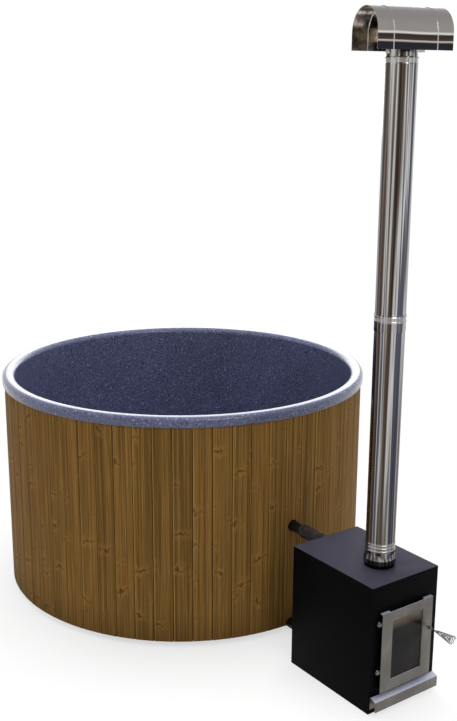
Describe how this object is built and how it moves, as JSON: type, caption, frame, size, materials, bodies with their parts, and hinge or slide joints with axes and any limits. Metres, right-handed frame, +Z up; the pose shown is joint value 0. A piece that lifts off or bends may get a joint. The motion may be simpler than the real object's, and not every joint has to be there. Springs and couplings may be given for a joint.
{
  "type": "wood-burning hot tub",
  "caption": "Round moulded hot tub in vertical wood cladding, heated by an outside wood stove with a glazed door, ash drawer, hose links and a tall capped flue.",
  "frame": {"origin": "on the ground under the tub's upright axis, on the middle bearer's underside", "axes": "+Z up the tub's axis, -Y from the tub to the stove, whose door faces -Y, +X to the right of someone facing the door"},
  "size_m": [1.7433, 2.5255, 2.5825],
  "materials": {
    "shell_plastic": "speckled satin moulding",
    "cladding_wood": "heat-treated softwood, oiled",
    "hoop_steel": "galvanised",
    "bearer_wood": "sawn, pressure treated",
    "black_plastic": "black pipe plastic",
    "hose_rubber": "grey-black rubber",
    "clamp_steel": "stainless band",
    "stove_black": "heat-proof black paint, satin",
    "fire_steel": "bare scaled steel",
    "grate_iron": "raw casting",
    "stainless_sheet": "brushed stainless",
    "window_glass": "smoked by soot",
    "seal_rope": "glass fibre rope and tape",
    "coil_wire": "polished wire",
    "flue_stainless": "bright rolled stainless"
  },
  "bodies": {
    "tub_and_stove": {"tub_well": "shell_plastic", "tub_bench": "shell_plastic", "tub_wall": "shell_plastic", "cladding_front": "cladding_wood", "cladding_right": "cladding_wood", "cladding_back": "cladding_wood", "cladding_left": "cladding_wood", "hoop_lower": "hoop_steel", "hoop_middle": "hoop_steel", "hoop_upper": "hoop_steel", "bearer_front": "bearer_wood", "bearer_middle": "bearer_wood", "bearer_back": "bearer_wood", "upper_pipe": "black_plastic", "upper_nut": "black_plastic", "upper_strainer": "black_plastic", "lower_outlet": "black_plastic", "lower_strainer": "black_plastic", "drain_sump": "black_plastic", "drain_pipe": "black_plastic", "drain_seat": "black_plastic", "upper_hose": "hose_rubber", "lower_hose": "hose_rubber", "upper_gasket": "hose_rubber", "lower_gasket": "hose_rubber", "drain_gasket": "hose_rubber", "upper_clamps": "clamp_steel", "lower_clamps": "clamp_steel", "stove_casing": "stove_black", "stove_front": "stove_black", "upper_stub": "stove_black", "lower_stub": "stove_black", "flue_spigot": "stove_black", "latch_keeper": "stove_black", "hinge_brackets": "stove_black", "firebox": "fire_steel", "ash_bay": "fire_steel", "baffle": "fire_steel", "baffle_rests": "fire_steel", "grate": "grate_iron", "hinge_pins": "stainless_sheet", "flue_lower": "flue_stainless", "flue_upper": "flue_stainless", "cap_spigot": "flue_stainless", "cap_hood": "flue_stainless", "cap_straps": "flue_stainless"},
    "door": {"door_frame": "stainless_sheet", "seal_channel": "stainless_sheet", "door_seal": "seal_rope", "glass_gasket": "seal_rope", "door_glass": "window_glass", "glass_clips": "stainless_sheet", "door_lugs": "stainless_sheet"},
    "latch": {"latch_spindle": "coil_wire", "latch_tongue": "stainless_sheet", "latch_handle": "coil_wire"},
    "ash_drawer": {"ash_pan": "stainless_sheet", "ash_lip": "stainless_sheet"},
    "plug": {"drain_plug": "hose_rubber"}
  },
  "joints": [
    {"name": "door_swing", "type": "hinge", "parent": "tub_and_stove", "child": "door", "pos_m": [-0.143, -1.538, 0.25], "axis": [0, 0, -1], "range_deg": [0, 115]},
    {"name": "latch_turn", "type": "hinge", "parent": "door", "child": "latch", "pos_m": [0.124, -1.545, 0.281], "axis": [0, 1, 0], "range_deg": [0, 90]},
    {"name": "ash_drawer_slide", "type": "slide", "parent": "tub_and_stove", "child": "ash_drawer", "axis": [0, -1, 0], "range_m": [0, 0.3]},
    {"name": "plug_lift", "type": "slide", "parent": "tub_and_stove", "child": "plug", "axis": [0, 0, 1], "range_m": [0, 0.08]}
  ]
}
